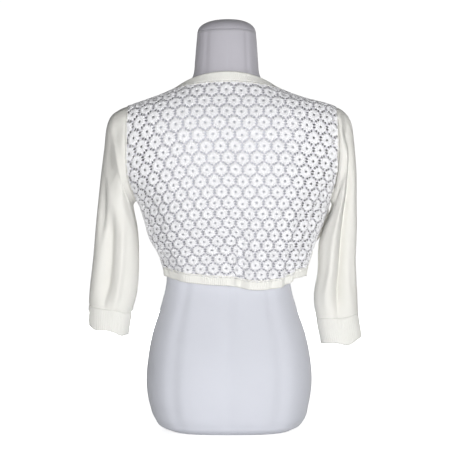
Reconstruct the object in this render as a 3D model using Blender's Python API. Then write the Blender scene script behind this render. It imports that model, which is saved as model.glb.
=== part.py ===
"""Knitted shrug with a lace back, worn on a limbless table-top dress form.

Metres, +Z up. The form stands on its flat base with its origin in the middle of that base. The wearer faces -Y,
so the lace back faces +Y and the wearer's left arm is on +X. Turns are degrees round the body: 0 at the centre
back, 90 at the side and 180 at the centre front, counted towards the side that is being made.
"""

import math
from collections import namedtuple

import bmesh
import bpy
import numpy as np

CLOTH = 0.0016
RIB = 0.0022
SEAM_GAP = 0.0003
SEAM_TURN = 0.28
SLEEVE_GAP = 0.0005

NECK_FULLNESS = 0.05
NECK_BLEND = (0.620, 0.650)

FORM_SIDES = 40
WAIST = 8
CHEST = 14
CAP_SIDES = 32
CAP_EDGE_HEIGHT = 0.737
CAP_RISE = 0.023
CAP_RINGS = 5
CAP_SCALE = 0.985
CAP_ROUNDNESS = 0.8

HEM_SIDE_HEIGHT = 0.284
HEM_DIP = 0.0155
HEM_ROUND = 1.4
HEM_LOW_TURN = -32
HEM_LOW_WIDE = 24
HEM_LOW_DIP = 0.0105
HEM_BAND = 0.015
SIDE_SEAM_TURN = 84
NECK_SIDE_HEIGHT = 0.626
NECK_BACK_HEIGHT = 0.640
BAND_TOP_SIDE_HEIGHT = 0.6355
BAND_TOP_BACK_HEIGHT = 0.6575
FRONT_BAND = 0.018
FRONT_CORNER_TURN = 108
FRONT_CORNER_RISE = 0.004
FRONT_CORNER_SHARE = 0.80

BACK_COLUMNS = 26
NECK_COLUMNS = 12
SHOULDER_COLUMNS = 7
FRONT_COLUMNS = 8
SIDE_ROWS = 5
ARMHOLE_ROWS = 12
FULL_STEPS = 4
SEAM_SHAPE_STEPS = 5
CUFF_RINGS = 2
BAND_ROWS = 2
CREASE_FADE = 0.15
SHARP_EDGE = 50
NEAR_TURN = 0.5
NEAR_HEIGHT = 0.0005

Section = namedtuple("Section", "height left right back front")
Body = namedtuple("Body", "sections back_fullness front_fullness")
Spot = namedtuple("Spot", "across height")
Ring = namedtuple("Ring", "outer outer_height inner inner_height back front")
Fold = namedtuple("Fold", "at wide top bottom depth")
Crease = namedtuple("Crease", "start end wide top bottom depth")
Side = namedtuple("Side", "name sign tip underarm seam rings creases lobes")

FORM = [
    Section(0.000, 0.112, 0.120, 0.088, -0.084),
    Section(0.006, 0.127, 0.132, 0.099, -0.095),
    Section(0.018, 0.137, 0.142, 0.107, -0.102),
    Section(0.045, 0.1475, 0.150, 0.114, -0.107),
    Section(0.090, 0.1535, 0.156, 0.117, -0.110),
    Section(0.130, 0.1505, 0.153, 0.113, -0.109),
    Section(0.175, 0.1425, 0.144, 0.100, -0.105),
    Section(0.220, 0.129, 0.129, 0.084, -0.099),
    Section(0.270, 0.1170, 0.1165, 0.070, -0.092),
    Section(0.320, 0.1185, 0.1195, 0.074, -0.094),
    Section(0.380, 0.131, 0.132, 0.084, -0.105),
    Section(0.440, 0.146, 0.146, 0.0985, -0.121),
    Section(0.490, 0.155, 0.155, 0.1035, -0.122),
    Section(0.540, 0.162, 0.162, 0.1010, -0.106),
    Section(0.575, 0.165, 0.165, 0.0930, -0.086),
    Section(0.592, 0.156, 0.156, 0.0855, -0.074),
    Section(0.606, 0.132, 0.132, 0.0775, -0.064),
    Section(0.618, 0.108, 0.105, 0.0695, -0.058),
    Section(0.630, 0.087, 0.082, 0.0625, -0.056),
    Section(0.642, 0.0735, 0.0665, 0.0575, -0.056),
    Section(0.656, 0.0665, 0.0590, 0.0530, -0.057),
    Section(0.680, 0.0635, 0.0560, 0.0510, -0.058),
    Section(0.710, 0.0610, 0.0540, 0.050, -0.058),
    Section(0.7367, 0.0585, 0.0515, 0.048, -0.056),
]

SHRUG = [
    Section(0.250, 0.119, 0.143, 0.087, -0.103),
    Section(0.285, 0.121, 0.1465, 0.090, -0.104),
    Section(0.319, 0.130, 0.1555, 0.094, -0.107),
    Section(0.352, 0.148, 0.166, 0.098, -0.112),
    Section(0.386, 0.158, 0.1795, 0.102, -0.120),
    Section(0.422, 0.172, 0.191, 0.105, -0.127),
    Section(0.450, 0.196, 0.203, 0.107, -0.130),
    Section(0.480, 0.222, 0.224, 0.108, -0.130),
    Section(0.520, 0.236, 0.238, 0.106, -0.120),
    Section(0.556, 0.234, 0.236, 0.102, -0.106),
    Section(0.579, 0.223, 0.226, 0.096, -0.094),
    Section(0.590, 0.208, 0.213, 0.091, -0.086),
    Section(0.601, 0.180, 0.190, 0.0855, -0.078),
    Section(0.612, 0.148, 0.147, 0.0795, -0.071),
    Section(0.6235, 0.118, 0.114, 0.0735, -0.066),
    Section(0.635, 0.0965, 0.0900, 0.0680, -0.063),
    Section(0.646, 0.0825, 0.0750, 0.0635, -0.062),
    Section(0.658, 0.0755, 0.0680, 0.0600, -0.063),
]

TORSO = Body(FORM, 0.40, -0.20)
WORN = Body(SHRUG, 0.25, -0.20)

LEFT_SEAM = [Spot(0.172, 0.422), Spot(0.181, 0.447), Spot(0.185, 0.475), Spot(0.186, 0.53), Spot(0.185, 0.599)]
RIGHT_SEAM = [Spot(0.190, 0.424), Spot(0.195, 0.445), Spot(0.199, 0.475), Spot(0.200, 0.53), Spot(0.199, 0.597)]

FRONT_EDGE = [
    Spot(0.0995, 0.6235),
    Spot(0.0930, 0.614),
    Spot(0.0880, 0.601),
    Spot(0.084, 0.576),
    Spot(0.078, 0.540),
    Spot(0.071, 0.490),
    Spot(0.068, 0.440),
    Spot(0.072, 0.395),
    Spot(0.082, 0.353),
    Spot(0.098, 0.322),
]

LEFT_SLEEVE = [
    Ring(0.206, 0.590, 0.1755, 0.4185, 0.0725, -0.069),
    Ring(0.220, 0.579, 0.1780, 0.4130, 0.0700, -0.068),
    Ring(0.228, 0.558, 0.1770, 0.406, 0.0640, -0.064),
    Ring(0.232, 0.520, 0.1755, 0.397, 0.0580, -0.060),
    Ring(0.238, 0.472, 0.1720, 0.382, 0.0510, -0.056),
    Ring(0.243, 0.425, 0.1690, 0.362, 0.0460, -0.053),
    Ring(0.248, 0.375, 0.1675, 0.332, 0.0410, -0.050),
    Ring(0.253, 0.315, 0.1675, 0.290, 0.0360, -0.047),
    Ring(0.259, 0.262, 0.1710, 0.250, 0.0320, -0.044),
    Ring(0.261, 0.228, 0.1800, 0.214, 0.0290, -0.042),
    Ring(0.261, 0.190, 0.1870, 0.172, 0.0270, -0.040),
]
RIGHT_SLEEVE = [
    Ring(0.213, 0.590, 0.1930, 0.4200, 0.0725, -0.069),
    Ring(0.224, 0.579, 0.1950, 0.415, 0.0690, -0.067),
    Ring(0.231, 0.560, 0.1950, 0.408, 0.0640, -0.064),
    Ring(0.2355, 0.522, 0.1900, 0.400, 0.0580, -0.060),
    Ring(0.239, 0.475, 0.1845, 0.387, 0.0510, -0.056),
    Ring(0.2395, 0.425, 0.1755, 0.366, 0.0460, -0.053),
    Ring(0.2400, 0.370, 0.1680, 0.337, 0.0410, -0.050),
    Ring(0.238, 0.310, 0.1665, 0.290, 0.0360, -0.047),
    Ring(0.2405, 0.255, 0.1595, 0.245, 0.0320, -0.044),
    Ring(0.2425, 0.213, 0.1640, 0.203, 0.0290, -0.042),
    Ring(0.249, 0.168, 0.1730, 0.156, 0.0270, -0.040),
]

# Turns and heights round the body. A fold deepens from its top to its bottom, and one with a negative depth swells
# out: the last two make the slack under the right arm, which swells and then falls in again.
BODY_FOLDS = [
    Fold(-10, 8, 0.430, 0.330, 0.0090),
    Fold(-40, 10, 0.420, 0.310, 0.0035),
    Fold(26, 10, 0.420, 0.310, 0.0040),
    Fold(-66, 11, 0.470, 0.390, 0.0050),
    Fold(58, 10, 0.470, 0.400, 0.0050),
    Fold(128, 12, 0.480, 0.400, 0.0030),
    Fold(-128, 12, 0.480, 0.400, 0.0030),
    Fold(-105, 8, 0.420, 0.386, -0.0110),
    Fold(-105, 8, 0.365, 0.340, 0.0110),
]

# Turns round the sleeve from its outer line, where a crease starts and ends: 90 faces back and 270 faces front. Top and
# bottom are shares of the sleeve's length.
LEFT_CREASES = [
    Crease(64, 58, 24, 0.00, 0.45, 0.0050),
    Crease(48, 46, 16, 0.36, 0.74, 0.0060),
    Crease(88, 80, 16, 0.52, 0.95, 0.0085),
    Crease(128, 140, 16, 0.20, 0.55, 0.0060),
    Crease(245, 262, 20, 0.20, 0.85, 0.0075),
    Crease(308, 300, 18, 0.45, 0.95, 0.0060),
]
RIGHT_CREASES = [
    Crease(54, 126, 16, 0.02, 0.94, 0.0100),
    Crease(130, 150, 16, 0.12, 0.50, 0.0060),
    Crease(48, 40, 18, 0.50, 0.95, 0.0045),
    Crease(275, 240, 20, 0.15, 0.90, 0.0080),
    Crease(318, 305, 18, 0.20, 0.65, 0.0060),
]

# Where the foot of a cuff hangs lower, round it and down it as for a crease.
LEFT_LOBES = [
    Crease(52, 52, 20, 0.86, 1.00, 0.0045),
    Crease(132, 132, 18, 0.86, 1.00, 0.0040),
    Crease(262, 262, 24, 0.86, 1.00, 0.0040),
]
RIGHT_LOBES = [
    Crease(74, 74, 28, 0.86, 1.00, 0.0090),
    Crease(250, 250, 30, 0.86, 1.00, 0.0050),
]

LEFT = Side("left", 1, 0.598, 0.422, LEFT_SEAM, LEFT_SLEEVE, LEFT_CREASES, LEFT_LOBES)
RIGHT = Side("right", -1, 0.5965, 0.424, RIGHT_SEAM, RIGHT_SLEEVE, RIGHT_CREASES, RIGHT_LOBES)


def column(rows, name):
    return np.array([getattr(row, name) for row in rows])


def smooth(knots, values, at):
    """A cubic curve through the knots, with each slope taken from the two neighbours."""
    slopes = np.gradient(values, knots)
    place = int(np.clip(np.searchsorted(knots, at) - 1, 0, len(knots) - 2))
    span = knots[place + 1] - knots[place]
    t = min(max((at - knots[place]) / span, 0.0), 1.0)
    start = (1 + 2 * t) * (1 - t) ** 2 * values[place] + t * (1 - t) ** 2 * span * slopes[place]
    end = t * t * (3 - 2 * t) * values[place + 1] + t * t * (t - 1) * span * slopes[place + 1]
    return start + end


def reach(sections, name, height):
    return smooth(column(sections, "height"), column(sections, name), height)


def ease(value):
    value = min(max(value, 0.0), 1.0)
    return value * value * (3 - 2 * value)


def around(body, turn, height):
    """The point on a body's skin at this turn and height. Its sections are full ovals, rounder at the neck."""
    turn = math.radians(turn)
    side = reach(body.sections, "left" if math.sin(turn) >= 0 else "right", height)
    backwards = math.cos(turn) >= 0
    depth = abs(reach(body.sections, "back" if backwards else "front", height))
    torso = body.back_fullness if backwards else body.front_fullness
    fullness = torso + (NECK_FULLNESS - torso) * ease((height - NECK_BLEND[0]) / (NECK_BLEND[1] - NECK_BLEND[0]))
    y = depth * math.cos(turn) * (1 + fullness * math.sin(turn) ** 2)
    return np.array([side * math.sin(turn), y, height])


def swell(turn, at, wide):
    """A smooth bump round the body or the sleeve: 1 at its turn, and almost nothing two widths away."""
    away = (turn - at + 180) % 360 - 180
    return math.exp(-((away / wide) ** 2))


def shrug_point(turn, height):
    """The outer face of the shrug's body, with its largest folds pressed in towards the form."""
    point = around(WORN, turn, height)
    for fold in BODY_FOLDS:
        grown = ease((fold.top - height) / (fold.top - fold.bottom))
        point[:2] -= fold.depth * grown * swell(turn, fold.at, fold.wide) * unit(point[:2])
    return point


def turn_at(side, across, height, front=False):
    """The turn at which the shrug's skin reaches this far across."""
    width = reach(SHRUG, side.name, height)
    turn = math.degrees(math.asin(min(across / width, 1.0)))
    return 180 - turn if front else turn


def armhole(side, phi):
    """The turn and height on the armhole seam: phi is 0 at the shoulder, 90 at the back, 180 under the arm."""
    middle = (side.tip + side.underarm) / 2
    height = middle + (side.tip - side.underarm) / 2 * math.cos(math.radians(phi))
    if phi % 180 == 0:
        return 90.0, height
    across = smooth(column(side.seam, "height"), column(side.seam, "across"), height)
    return turn_at(side, across, height, front=phi > 180), height


def side_edge(side, front=False):
    """Turns and heights up the edge of a panel: the side seam from the hem band, and then the armhole."""
    start = hem_height(side.sign * SIDE_SEAM_TURN) + HEM_BAND + SEAM_GAP
    edge = []
    for row in range(SIDE_ROWS):
        share = row / SIDE_ROWS
        turn = SIDE_SEAM_TURN + (90 - SIDE_SEAM_TURN) * ease(share)
        edge.append((turn, start + (side.underarm - start) * share))
    for row in range(ARMHOLE_ROWS + 1):
        phi = 180 * row / ARMHOLE_ROWS
        edge.append(armhole(side, 180 + phi if front else 180 - phi) if phi < 180 else armhole(side, 0))
    return edge


def hem_height(turn):
    """The lower edge of the hem band, lowest behind and a little to the wearer's right."""
    dip = HEM_DIP * math.cos(math.radians(turn)) ** HEM_ROUND if abs(turn) < 90 else 0.0
    low = HEM_LOW_DIP * math.exp(-(((turn - HEM_LOW_TURN) / HEM_LOW_WIDE) ** 4))
    return HEM_SIDE_HEIGHT - dip - low


def patch(bottom, top, first, last):
    """A grid of turns and heights between four edges, each a list of (turn, height) pairs."""
    bottom, top, first, last = (np.array(edge) for edge in (bottom, top, first, last))
    across = np.linspace(0, 1, len(bottom))[None, :, None]
    up = np.linspace(0, 1, len(first))[:, None, None]
    ruled = (1 - up) * bottom[None] + up * top[None] + (1 - across) * first[:, None] + across * last[:, None]
    corners = (1 - up) * ((1 - across) * bottom[0] + across * bottom[-1])
    corners = corners + up * ((1 - across) * top[0] + across * top[-1])
    return ruled - corners


def unit(vectors):
    return vectors / np.linalg.norm(vectors, axis=-1, keepdims=True)


def shrug_facing(turn, height):
    """The outward normal of the shrug's skin."""
    across = shrug_point(turn + NEAR_TURN, height) - shrug_point(turn - NEAR_TURN, height)
    up = shrug_point(turn, height + NEAR_HEIGHT) - shrug_point(turn, height - NEAR_HEIGHT)
    return unit(np.cross(up, across))


def on_shrug(grid, sign=1):
    """The points and normals of a grid of turns and heights."""
    points = np.array([[shrug_point(sign * turn, height) for turn, height in row] for row in grid])
    normals = np.array([[shrug_facing(sign * turn, height) for turn, height in row] for row in grid])
    return points, normals


def tube_facings(rings):
    """The normals of a tube, pointing away from the middle of each ring."""
    around_ring = np.roll(rings, -1, axis=1) - np.roll(rings, 1, axis=1)
    normals = unit(np.cross(around_ring, np.gradient(rings, axis=0)))
    outwards = (normals * (rings - rings.mean(axis=1, keepdims=True))).sum() > 0
    return normals if outwards else -normals


def make_node(name, corners, faces, material):
    mesh = bpy.data.meshes.new(name)
    mesh.from_pydata([tuple(corner) for corner in corners], [], faces)
    shape = bmesh.new()
    shape.from_mesh(mesh)
    bmesh.ops.recalc_face_normals(shape, faces=shape.faces)
    shape.to_mesh(mesh)
    shape.free()
    mesh.shade_smooth()
    mesh.set_sharp_from_angle(angle=math.radians(SHARP_EDGE))
    mesh.materials.append(material)
    node = bpy.data.objects.new(name, mesh)
    collection.objects.link(node)
    return node


def cloth(name, points, normals, thickness, material, round_tube=False):
    """A wall of cloth between a grid of outer points and the same grid moved in by its thickness."""
    rows, columns = points.shape[:2]
    corners = np.concatenate([points.reshape(-1, 3), (points - thickness * normals).reshape(-1, 3)])
    inner = rows * columns
    faces = []
    for row in range(rows - 1):
        for col in range(columns if round_tube else columns - 1):
            a = row * columns + col
            b = row * columns + (col + 1) % columns
            faces.append((a, b, b + columns, a + columns))
            faces.append((inner + a, inner + a + columns, inner + b + columns, inner + b))
    rim = [(row * columns, (row + 1) * columns) for row in range(rows - 1)] if not round_tube else []
    rim += [(a + columns - 1, b + columns - 1) for a, b in rim]
    for row in (0, rows - 1):
        for col in range(columns if round_tube else columns - 1):
            rim.append((row * columns + col, row * columns + (col + 1) % columns))
    faces += [(a, b, inner + b, inner + a) for a, b in rim]
    return make_node(name, corners, faces, material)


def form_torso():
    """The form's padded body and neck: ovals from the flat base up to the edge of the cap."""
    heights = column(FORM, "height")
    rings = sorted(set(heights) | set((heights[WAIST:CHEST] + heights[WAIST + 1 : CHEST + 1]) / 2))
    turns = np.arange(FORM_SIDES) * 360 / FORM_SIDES
    corners = [around(TORSO, turn, height) for height in rings for turn in turns]
    faces = [tuple(range(FORM_SIDES)), tuple(range((len(rings) - 1) * FORM_SIDES, len(rings) * FORM_SIDES))]
    for ring in range(len(rings) - 1):
        for turn in range(FORM_SIDES):
            a = ring * FORM_SIDES + turn
            b = ring * FORM_SIDES + (turn + 1) % FORM_SIDES
            faces.append((a, b, b + FORM_SIDES, a + FORM_SIDES))
    return make_node("form_torso", corners, faces, cover)


def form_neck_cap():
    """The domed cap that closes the neck."""
    turns = np.arange(CAP_SIDES) * 360 / CAP_SIDES
    corners = []
    for ring in range(CAP_RINGS):
        rise = math.radians(90 * ring / CAP_RINGS)
        rim = np.array([around(TORSO, turn, FORM[-1].height) for turn in turns])
        rim[:, :2] *= CAP_SCALE * math.cos(rise) ** CAP_ROUNDNESS
        rim[:, 2] = CAP_EDGE_HEIGHT + CAP_RISE * math.sin(rise)
        corners.extend(rim)
    corners.append(np.array([0, 0, CAP_EDGE_HEIGHT + CAP_RISE]))
    faces = [tuple(range(CAP_SIDES))]
    for ring in range(CAP_RINGS - 1):
        for step in range(CAP_SIDES):
            a = ring * CAP_SIDES + step
            b = ring * CAP_SIDES + (step + 1) % CAP_SIDES
            faces.append((a, b, b + CAP_SIDES, a + CAP_SIDES))
    last = (CAP_RINGS - 1) * CAP_SIDES
    faces += [(last + step, last + (step + 1) % CAP_SIDES, len(corners) - 1) for step in range(CAP_SIDES)]
    return make_node("form_neck_cap", corners, faces, cap_cover)


def shoulder_seam(side, columns):
    """Turns and heights along the ridge of the shoulder, from the neck band out to the armhole."""
    neck = NECK_SIDE_HEIGHT - SEAM_GAP
    return [(90.0, neck + (side.tip - neck) * share) for share in np.linspace(0, 1, columns + 1)]


def neck_edge(lower_side, lower_back, columns):
    """Turns and heights from the wearer's right shoulder round the back of the neck to the left."""
    turns = np.linspace(-90, 90, columns + 1)
    return [(turn, lower_side + (lower_back - lower_side) * math.cos(math.radians(turn))) for turn in turns]


def back_panel():
    """The lace back, one wall from the wearer's right side to the left."""
    right = [(-turn, height) for turn, height in side_edge(RIGHT)]
    left = side_edge(LEFT)
    right_shoulder = [(-turn, height) for turn, height in shoulder_seam(RIGHT, SHOULDER_COLUMNS)][::-1]
    neck = neck_edge(NECK_SIDE_HEIGHT - SEAM_GAP, NECK_BACK_HEIGHT - SEAM_GAP, NECK_COLUMNS)
    top = right_shoulder[:-1] + neck + shoulder_seam(LEFT, SHOULDER_COLUMNS)[1:]
    turns = np.linspace(right[0][0], left[0][0], len(top))
    bottom = [(turn, hem_height(turn) + HEM_BAND + SEAM_GAP) for turn in turns]
    return on_shrug(patch(bottom, top, right, left))


def front_edge(side, shares):
    """Turns and heights along the open front: share 0 is at the neck, and 1 at the side seam on the hem band."""
    spots = [(90.0 + SEAM_TURN, NECK_SIDE_HEIGHT - SEAM_GAP)]
    spots += [(turn_at(side, spot.across, spot.height, front=True), spot.height) for spot in FRONT_EDGE]
    start = hem_height(side.sign * SIDE_SEAM_TURN) + HEM_BAND + SEAM_GAP
    spots += [(FRONT_CORNER_TURN, start + FRONT_CORNER_RISE), (SIDE_SEAM_TURN + SEAM_TURN, start)]
    turns, heights = np.array(spots).T
    knots = np.linspace(0, 1, len(spots))
    return [(smooth(knots, turns, share), smooth(knots, heights, share)) for share in shares]


def front_panel(side):
    """One plain front, from its side seam, armhole and shoulder in to the open edge."""
    outer = [(turn + SEAM_TURN, height) for turn, height in side_edge(side, front=True)]
    inner = front_edge(side, np.linspace(FRONT_CORNER_SHARE, 0, len(outer)))
    shoulder = [(turn + SEAM_TURN, height) for turn, height in shoulder_seam(side, FRONT_COLUMNS)][::-1]
    bottom = front_edge(side, np.linspace(1, FRONT_CORNER_SHARE, FRONT_COLUMNS + 1))
    return on_shrug(patch(bottom, shoulder, outer, inner), side.sign)


def sleeve_ring(side, at, share):
    """One oval ring of a sleeve, on the wearer's left, with its creases pressed in and the foot's lobes let down."""
    outer = np.array([at.outer, 0, at.outer_height])
    inner = np.array([at.inner, 0, at.inner_height])
    ring = []
    for phi in np.arange(2 * ARMHOLE_ROWS) * 180 / ARMHOLE_ROWS:
        angle = math.radians(phi)
        depth = at.back if phi <= 180 else -at.front
        spoke = (outer - inner) / 2 * math.cos(angle) + np.array([0, depth * math.sin(angle), 0])
        press = 0.0
        for crease in side.creases:
            down = (share - crease.top) / (crease.bottom - crease.top)
            shown = ease((share - crease.top) / CREASE_FADE) * ease((crease.bottom - share) / CREASE_FADE)
            at_turn = crease.start + (crease.end - crease.start) * down
            press += crease.depth * shown * swell(phi, at_turn, crease.wide)
        point = (outer + inner) / 2 + spoke * (1 - press / np.linalg.norm(spoke))
        for lobe in side.lobes:
            grown = ease((share - lobe.top) / (lobe.bottom - lobe.top))
            point[2] -= lobe.depth * grown * swell(phi, lobe.start, lobe.wide)
        ring.append(point)
    return np.array(ring)


def sleeve_grid(side, armhole_loop):
    """Rings down the sleeve, from the armhole seam to the foot of the cuff. The seam's own shape fades out below it."""
    loop = armhole_loop * (side.sign, 1, 1)
    tip, underarm = loop[0], loop[ARMHOLE_ROWS]
    start = Ring(tip[0], tip[2], underarm[0], underarm[2], loop[:, 1].max(), loop[:, 1].min())
    table = [start] + side.rings
    steps = np.concatenate([np.arange(1, FULL_STEPS), np.arange(FULL_STEPS, len(table) - 0.99, 0.5)])
    seam_shape = loop - sleeve_ring(side, start, 0.0)
    rings = []
    for step in steps:
        at = Ring(*(smooth(np.arange(len(table)), column(table, name), step) for name in Ring._fields))
        ring = sleeve_ring(side, at, step / (len(table) - 1))
        rings.append(ring + seam_shape * (1 - ease(step / SEAM_SHAPE_STEPS)))
    first = loop + SLEEVE_GAP * unit(rings[0] - loop)
    return np.array([first] + rings) * (side.sign, 1, 1)


def front_shares():
    """The places along the open front where its panel has corners, from the neck down to the side seam."""
    down = np.linspace(0, FRONT_CORNER_SHARE, SIDE_ROWS + ARMHOLE_ROWS + 1)
    return np.concatenate([down, np.linspace(FRONT_CORNER_SHARE, 1, FRONT_COLUMNS + 1)[1:]])


def band_strip(side):
    """The ribbed edge of one front: its seam to the panel, and the edge that hangs free."""
    edge = np.array(front_edge(side, front_shares()))
    seam, free = [], []
    for place, (turn, height) in enumerate(edge):
        here = shrug_point(turn, height)
        per_turn = shrug_point(turn + 1, height) - here
        per_height = (shrug_point(turn, height + NEAR_HEIGHT) - here) / NEAR_HEIGHT
        before, after = edge[max(place - 1, 0)], edge[min(place + 1, len(edge) - 1)]
        along = shrug_point(*after) - shrug_point(*before)
        out = unit(np.cross(np.cross(per_turn, per_height), along))
        step = np.linalg.lstsq(np.column_stack([per_turn, per_height]), out, rcond=None)[0]
        seam.append(edge[place] + SEAM_GAP * step)
        free.append(edge[place] + (SEAM_GAP + FRONT_BAND) * step)
    low = hem_height(side.sign * SIDE_SEAM_TURN)
    seam[0], free[0] = (90 + SEAM_TURN, NECK_SIDE_HEIGHT), (90 + SEAM_TURN, BAND_TOP_SIDE_HEIGHT)
    seam[-1], free[-1] = (SIDE_SEAM_TURN + SEAM_TURN, low + HEM_BAND), (SIDE_SEAM_TURN + SEAM_TURN, low)
    return np.array(seam), np.array(free)


def between(first, last, rows):
    """Rows of turns and heights from one edge to another."""
    return [(1 - share) * np.array(first) + share * np.array(last) for share in np.linspace(0, 1, rows + 1)]


def paint(name, red, green, blue, roughness):
    material = bpy.data.materials.new(name)
    material.use_nodes = True
    surface = material.node_tree.nodes["Principled BSDF"]
    surface.inputs["Base Color"].default_value = (red, green, blue, 1)
    surface.inputs["Roughness"].default_value = roughness
    surface.inputs["Metallic"].default_value = 0
    material.diffuse_color = (red, green, blue, 1)
    return material


for leftover in list(bpy.data.objects):
    bpy.data.objects.remove(leftover)

collection = bpy.data.collections.new("knitted_shrug_on_dress_form")
bpy.context.scene.collection.children.link(collection)

cover = paint("form_cover", 0.60, 0.61, 0.66, 0.90)
cap_cover = paint("neck_cap_cover", 0.50, 0.50, 0.54, 0.90)
lace = paint("lace_knit", 0.85, 0.84, 0.81, 0.95)
jersey = paint("plain_knit", 0.83, 0.82, 0.78, 0.95)
rib = paint("rib_knit", 0.82, 0.81, 0.77, 0.95)

form_torso()
form_neck_cap()

back_points, back_normals = back_panel()
for side in (LEFT, RIGHT):
    front_points, front_normals = front_panel(side)
    back_edge = -1 if side.sign > 0 else 0
    back_loop = back_points[SIDE_ROWS:, back_edge][::-1]
    front_loop = front_points[SIDE_ROWS + 1 : -1, 0]
    tube = sleeve_grid(side, np.concatenate([back_loop, front_loop]))
    tube_normals = tube_facings(tube)

    # Walls that meet at the armhole are cut on one shared slant, so that they stay apart all through.
    back_normals[SIDE_ROWS:, back_edge] += tube_normals[0, : ARMHOLE_ROWS + 1][::-1]
    front_normals[SIDE_ROWS + 1 : -1, 0] += tube_normals[0, ARMHOLE_ROWS + 1 :]
    back_normals = unit(back_normals)
    front_normals = unit(front_normals)
    tube_normals[0, : ARMHOLE_ROWS + 1] = back_normals[SIDE_ROWS:, back_edge][::-1]
    tube_normals[0, ARMHOLE_ROWS + 1 :] = front_normals[SIDE_ROWS + 1 : -1, 0]

    cloth(f"front_{side.name}", front_points, front_normals, CLOTH, jersey)
    seam = len(tube) - CUFF_RINGS
    cloth(f"sleeve_{side.name}", tube[:seam], tube_normals[:seam], CLOTH, jersey, round_tube=True)
    cuff = tube[seam - 1 :].copy()
    cuff[0] += SEAM_GAP * unit(cuff[1] - cuff[0])
    cloth(f"cuff_{side.name}", cuff, tube_normals[seam - 1 :], RIB, rib, round_tube=True)

    strip = between(*band_strip(side), BAND_ROWS)
    cloth(f"front_band_{side.name}", *on_shrug(strip, side.sign), RIB, rib)

cloth("back_lace", back_points, back_normals, CLOTH, lace)

neck_low = neck_edge(NECK_SIDE_HEIGHT, NECK_BACK_HEIGHT, NECK_COLUMNS)
neck_high = neck_edge(BAND_TOP_SIDE_HEIGHT, BAND_TOP_BACK_HEIGHT, NECK_COLUMNS)
cloth("neck_band", *on_shrug(between(neck_low, neck_high, BAND_ROWS)), RIB, rib)

hem_turns = np.linspace(-SIDE_SEAM_TURN, SIDE_SEAM_TURN, BACK_COLUMNS + 1)
hem_low = [(turn, hem_height(turn)) for turn in hem_turns]
hem_high = [(turn, hem_height(turn) + HEM_BAND) for turn in hem_turns]
cloth("hem_band", *on_shrug(between(hem_low, hem_high, BAND_ROWS)), RIB, rib)
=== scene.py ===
"""A cream knitted shrug with a lace back, worn on a grey table-top dress form.

Metres, +Z up. The wearer faces -Y, so the lace back faces +Y and the wearer's left arm is on +X. Turns are
degrees round the body: 0 at the centre back, 90 at the side being made and 180 at the centre front.
"""

import math
from collections import namedtuple

import bmesh
import bpy
import numpy as np
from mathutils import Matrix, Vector


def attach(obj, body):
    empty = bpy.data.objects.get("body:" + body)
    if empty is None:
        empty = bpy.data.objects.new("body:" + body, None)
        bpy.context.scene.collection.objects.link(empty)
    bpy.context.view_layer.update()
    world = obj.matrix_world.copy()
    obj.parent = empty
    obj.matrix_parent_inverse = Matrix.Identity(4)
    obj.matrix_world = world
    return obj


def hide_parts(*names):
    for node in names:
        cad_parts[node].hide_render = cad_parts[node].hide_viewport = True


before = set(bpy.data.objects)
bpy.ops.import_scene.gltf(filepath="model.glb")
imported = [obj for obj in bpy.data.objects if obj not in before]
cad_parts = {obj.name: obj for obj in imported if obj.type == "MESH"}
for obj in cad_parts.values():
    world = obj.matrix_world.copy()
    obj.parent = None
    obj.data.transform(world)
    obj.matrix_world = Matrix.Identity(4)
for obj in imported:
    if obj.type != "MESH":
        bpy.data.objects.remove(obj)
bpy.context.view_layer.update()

# --------------------------------------------------------------------------------------------------------
# Form body. A light moulded torso with a flat base, under a tight cover of bluish grey stretch jersey.
# The cover is sewn from long panels, so shallow channels run down the form where its seams pull in.
# --------------------------------------------------------------------------------------------------------
Section = namedtuple("Section", "height left right back front")
Body = namedtuple("Body", "sections back_fullness front_fullness")

FORM = [
    Section(0.000, 0.112, 0.120, 0.088, -0.084),
    Section(0.006, 0.127, 0.132, 0.099, -0.095),
    Section(0.018, 0.137, 0.142, 0.107, -0.102),
    Section(0.045, 0.1475, 0.150, 0.114, -0.107),
    Section(0.090, 0.1535, 0.156, 0.117, -0.110),
    Section(0.130, 0.1505, 0.153, 0.113, -0.109),
    Section(0.175, 0.1425, 0.144, 0.100, -0.105),
    Section(0.220, 0.129, 0.129, 0.084, -0.099),
    Section(0.270, 0.1170, 0.1165, 0.070, -0.092),
    Section(0.320, 0.1185, 0.1195, 0.074, -0.094),
    Section(0.380, 0.131, 0.132, 0.084, -0.105),
    Section(0.440, 0.146, 0.146, 0.0985, -0.121),
    Section(0.490, 0.155, 0.155, 0.1035, -0.122),
    Section(0.540, 0.162, 0.162, 0.1010, -0.106),
    Section(0.575, 0.165, 0.165, 0.0930, -0.086),
    Section(0.592, 0.156, 0.156, 0.0855, -0.074),
    Section(0.606, 0.132, 0.132, 0.0775, -0.064),
    Section(0.618, 0.108, 0.105, 0.0695, -0.058),
    Section(0.630, 0.087, 0.082, 0.0625, -0.056),
    Section(0.642, 0.0735, 0.0665, 0.0575, -0.056),
    Section(0.656, 0.0665, 0.0590, 0.0530, -0.057),
    Section(0.680, 0.0635, 0.0560, 0.0510, -0.058),
    Section(0.710, 0.0610, 0.0540, 0.050, -0.058),
    Section(0.7367, 0.0585, 0.0515, 0.048, -0.056),
]
TORSO = Body(FORM, back_fullness=0.40, front_fullness=-0.20)
NECK_FULLNESS = 0.05
NECK_BASE = (0.620, 0.650)
COVER_SEAMS = (0, 41, -38, 90, -90, 140, -140, 180)
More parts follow.
